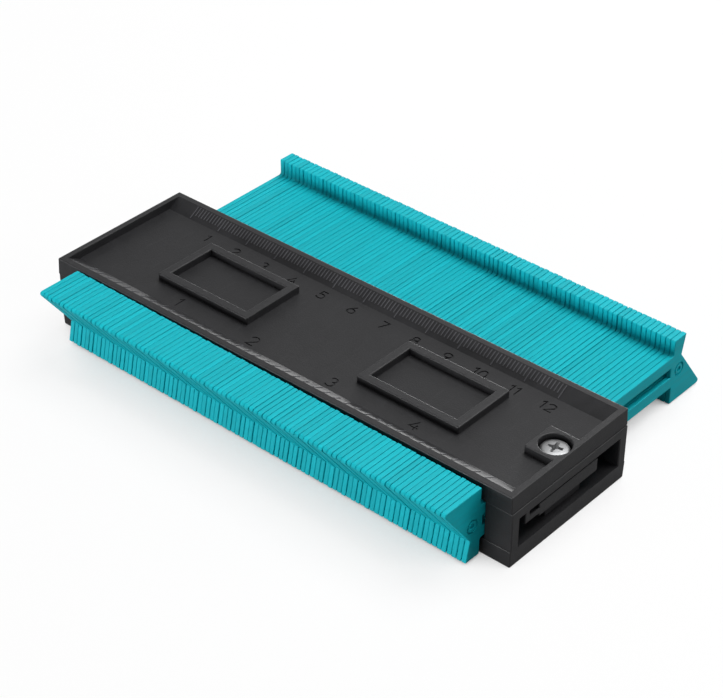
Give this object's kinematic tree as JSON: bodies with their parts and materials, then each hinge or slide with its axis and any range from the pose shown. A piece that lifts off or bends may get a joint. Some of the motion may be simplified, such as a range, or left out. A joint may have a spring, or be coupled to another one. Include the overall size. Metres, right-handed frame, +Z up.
{
  "type": "contour gauge",
  "caption": "Contour gauge: a stack of thin slotted plates with pointed heads slides in a flat two-shell housing, to copy the outline of a surface pressed against it.",
  "frame": {"origin": "centre of the bounding box at its bottom: under the middle of the plates at rest, on the surface that the gauge lies on", "axes": "+X along the housing, towards the end with the upper screw; +Y along the plates' travel, towards the rear, where the plates reach out at rest; +Z up, out of the upper recessed face"},
  "size_m": [0.1456, 0.101, 0.0199],
  "materials": {
    "housing_plastic": "moulded, satin charcoal black",
    "lamina_plastic": "moulded, satin turquoise",
    "screw_metal": "zinc plated, satin"
  },
  "bodies": {
    "housing": {"top_shell": "housing_plastic", "bottom_shell": "housing_plastic", "guide_blade": "housing_plastic", "upper_screw": "screw_metal", "lower_screw": "screw_metal"},
    "laminae_01": {"laminae_01": "lamina_plastic"},
    "laminae_02": {"laminae_02": "lamina_plastic"},
    "laminae_03": {"laminae_03": "lamina_plastic"},
    "laminae_04": {"laminae_04": "lamina_plastic"},
    "laminae_05": {"laminae_05": "lamina_plastic"},
    "laminae_06": {"laminae_06": "lamina_plastic"},
    "laminae_07": {"laminae_07": "lamina_plastic"},
    "laminae_08": {"laminae_08": "lamina_plastic"},
    "laminae_09": {"laminae_09": "lamina_plastic"},
    "laminae_10": {"laminae_10": "lamina_plastic"},
    "laminae_11": {"laminae_11": "lamina_plastic"},
    "laminae_12": {"laminae_12": "lamina_plastic"},
    "laminae_13": {"laminae_13": "lamina_plastic"},
    "laminae_14": {"laminae_14": "lamina_plastic"},
    "laminae_15": {"laminae_15": "lamina_plastic"},
    "laminae_16": {"laminae_16": "lamina_plastic"},
    "laminae_17": {"laminae_17": "lamina_plastic"},
    "laminae_18": {"laminae_18": "lamina_plastic"},
    "laminae_19": {"laminae_19": "lamina_plastic"},
    "laminae_20": {"laminae_20": "lamina_plastic"},
    "laminae_21": {"laminae_21": "lamina_plastic"},
    "laminae_22": {"laminae_22": "lamina_plastic"},
    "laminae_23": {"laminae_23": "lamina_plastic"},
    "laminae_24": {"laminae_24": "lamina_plastic"},
    "laminae_25": {"laminae_25": "lamina_plastic"},
    "laminae_26": {"laminae_26": "lamina_plastic"},
    "laminae_27": {"laminae_27": "lamina_plastic"},
    "laminae_28": {"laminae_28": "lamina_plastic"},
    "laminae_29": {"laminae_29": "lamina_plastic"},
    "laminae_30": {"laminae_30": "lamina_plastic"},
    "laminae_31": {"laminae_31": "lamina_plastic"},
    "laminae_32": {"laminae_32": "lamina_plastic"},
    "laminae_33": {"laminae_33": "lamina_plastic"},
    "laminae_34": {"laminae_34": "lamina_plastic"},
    "laminae_35": {"laminae_35": "lamina_plastic"},
    "laminae_36": {"laminae_36": "lamina_plastic"},
    "laminae_37": {"laminae_37": "lamina_plastic"},
    "laminae_38": {"laminae_38": "lamina_plastic"},
    "laminae_39": {"laminae_39": "lamina_plastic"},
    "laminae_40": {"laminae_40": "lamina_plastic"},
    "laminae_41": {"laminae_41": "lamina_plastic"},
    "laminae_42": {"laminae_42": "lamina_plastic"},
    "laminae_43": {"laminae_43": "lamina_plastic"},
    "laminae_44": {"laminae_44": "lamina_plastic"},
    "laminae_45": {"laminae_45": "lamina_plastic"},
    "laminae_46": {"laminae_46": "lamina_plastic"}
  },
  "joints": [
    {"name": "slide_01", "type": "slide", "parent": "housing", "child": "laminae_01", "axis": [0, 1, 0], "range_m": [-0.03074, 0.00015]},
    {"name": "slide_02", "type": "slide", "parent": "housing", "child": "laminae_02", "axis": [0, 1, 0], "range_m": [-0.03064, 0.00016]},
    {"name": "slide_03", "type": "slide", "parent": "housing", "child": "laminae_03", "axis": [0, 1, 0], "range_m": [-0.03065, 0.00025]},
    {"name": "slide_04", "type": "slide", "parent": "housing", "child": "laminae_04", "axis": [0, 1, 0], "range_m": [-0.03061, 0.00017]},
    {"name": "slide_05", "type": "slide", "parent": "housing", "child": "laminae_05", "axis": [0, 1, 0], "range_m": [-0.03069, 0.00024]},
    {"name": "slide_06", "type": "slide", "parent": "housing", "child": "laminae_06", "axis": [0, 1, 0], "range_m": [-0.03058, 0.00022]},
    {"name": "slide_07", "type": "slide", "parent": "housing", "child": "laminae_07", "axis": [0, 1, 0], "range_m": [-0.0306, 0.00033]},
    {"name": "slide_08", "type": "slide", "parent": "housing", "child": "laminae_08", "axis": [0, 1, 0], "range_m": [-0.03053, 0.00026]},
    {"name": "slide_09", "type": "slide", "parent": "housing", "child": "laminae_09", "axis": [0, 1, 0], "range_m": [-0.03059, 0.00029]},
    {"name": "slide_10", "type": "slide", "parent": "housing", "child": "laminae_10", "axis": [0, 1, 0], "range_m": [-0.03053, 0.00029]},
    {"name": "slide_11", "type": "slide", "parent": "housing", "child": "laminae_11", "axis": [0, 1, 0], "range_m": [-0.0305, 0.00037]},
    {"name": "slide_12", "type": "slide", "parent": "housing", "child": "laminae_12", "axis": [0, 1, 0], "range_m": [-0.03046, 0.00035]},
    {"name": "slide_13", "type": "slide", "parent": "housing", "child": "laminae_13", "axis": [0, 1, 0], "range_m": [-0.0305, 0.00034]},
    {"name": "slide_14", "type": "slide", "parent": "housing", "child": "laminae_14", "axis": [0, 1, 0], "range_m": [-0.03048, 0.00036]},
    {"name": "slide_15", "type": "slide", "parent": "housing", "child": "laminae_15", "axis": [0, 1, 0], "range_m": [-0.03042, 0.00042]},
    {"name": "slide_16", "type": "slide", "parent": "housing", "child": "laminae_16", "axis": [0, 1, 0], "range_m": [-0.0304, 0.00044]},
    {"name": "slide_17", "type": "slide", "parent": "housing", "child": "laminae_17", "axis": [0, 1, 0], "range_m": [-0.0304, 0.0004]},
    {"name": "slide_18", "type": "slide", "parent": "housing", "child": "laminae_18", "axis": [0, 1, 0], "range_m": [-0.03043, 0.00045]},
    {"name": "slide_19", "type": "slide", "parent": "housing", "child": "laminae_19", "axis": [0, 1, 0], "range_m": [-0.03034, 0.00047]},
    {"name": "slide_20", "type": "slide", "parent": "housing", "child": "laminae_20", "axis": [0, 1, 0], "range_m": [-0.03035, 0.00054]},
    {"name": "slide_21", "type": "slide", "parent": "housing", "child": "laminae_21", "axis": [0, 1, 0], "range_m": [-0.03031, 0.00047]},
    {"name": "slide_22", "type": "slide", "parent": "housing", "child": "laminae_22", "axis": [0, 1, 0], "range_m": [-0.03039, 0.00054]},
    {"name": "slide_23", "type": "slide", "parent": "housing", "child": "laminae_23", "axis": [0, 1, 0], "range_m": [-0.03028, 0.00052]},
    {"name": "slide_24", "type": "slide", "parent": "housing", "child": "laminae_24", "axis": [0, 1, 0], "range_m": [-0.0303, 0.00064]},
    {"name": "slide_25", "type": "slide", "parent": "housing", "child": "laminae_25", "axis": [0, 1, 0], "range_m": [-0.03023, 0.00055]},
    {"name": "slide_26", "type": "slide", "parent": "housing", "child": "laminae_26", "axis": [0, 1, 0], "range_m": [-0.0303, 0.00059]},
    {"name": "slide_27", "type": "slide", "parent": "housing", "child": "laminae_27", "axis": [0, 1, 0], "range_m": [-0.03022, 0.00059]},
    {"name": "slide_28", "type": "slide", "parent": "housing", "child": "laminae_28", "axis": [0, 1, 0], "range_m": [-0.03021, 0.00068]},
    {"name": "slide_29", "type": "slide", "parent": "housing", "child": "laminae_29", "axis": [0, 1, 0], "range_m": [-0.03016, 0.00064]},
    {"name": "slide_30", "type": "slide", "parent": "housing", "child": "laminae_30", "axis": [0, 1, 0], "range_m": [-0.0302, 0.00064]},
    {"name": "slide_31", "type": "slide", "parent": "housing", "child": "laminae_31", "axis": [0, 1, 0], "range_m": [-0.03017, 0.00066]},
    {"name": "slide_32", "type": "slide", "parent": "housing", "child": "laminae_32", "axis": [0, 1, 0], "range_m": [-0.03012, 0.00072]},
    {"name": "slide_33", "type": "slide", "parent": "housing", "child": "laminae_33", "axis": [0, 1, 0], "range_m": [-0.0301, 0.00073]},
    {"name": "slide_34", "type": "slide", "parent": "housing", "child": "laminae_34", "axis": [0, 1, 0], "range_m": [-0.03011, 0.0007]},
    {"name": "slide_35", "type": "slide", "parent": "housing", "child": "laminae_35", "axis": [0, 1, 0], "range_m": [-0.03013, 0.00074]},
    {"name": "slide_36", "type": "slide", "parent": "housing", "child": "laminae_36", "axis": [0, 1, 0], "range_m": [-0.03005, 0.00077]},
    {"name": "slide_37", "type": "slide", "parent": "housing", "child": "laminae_37", "axis": [0, 1, 0], "range_m": [-0.03004, 0.00083]},
    {"name": "slide_38", "type": "slide", "parent": "housing", "child": "laminae_38", "axis": [0, 1, 0], "range_m": [-0.03002, 0.00077]},
    {"name": "slide_39", "type": "slide", "parent": "housing", "child": "laminae_39", "axis": [0, 1, 0], "range_m": [-0.03009, 0.00083]},
    {"name": "slide_40", "type": "slide", "parent": "housing", "child": "laminae_40", "axis": [0, 1, 0], "range_m": [-0.02998, 0.00082]},
    {"name": "slide_41", "type": "slide", "parent": "housing", "child": "laminae_41", "axis": [0, 1, 0], "range_m": [-0.03, 0.00093]},
    {"name": "slide_42", "type": "slide", "parent": "housing", "child": "laminae_42", "axis": [0, 1, 0], "range_m": [-0.02993, 0.00085]},
    {"name": "slide_43", "type": "slide", "parent": "housing", "child": "laminae_43", "axis": [0, 1, 0], "range_m": [-0.03001, 0.0009]},
    {"name": "slide_44", "type": "slide", "parent": "housing", "child": "laminae_44", "axis": [0, 1, 0], "range_m": [-0.02992, 0.00089]},
    {"name": "slide_45", "type": "slide", "parent": "housing", "child": "laminae_45", "axis": [0, 1, 0], "range_m": [-0.02992, 0.00099]},
    {"name": "slide_46", "type": "slide", "parent": "housing", "child": "laminae_46", "axis": [0, 1, 0], "range_m": [-0.03001, 0.00093]}
  ]
}
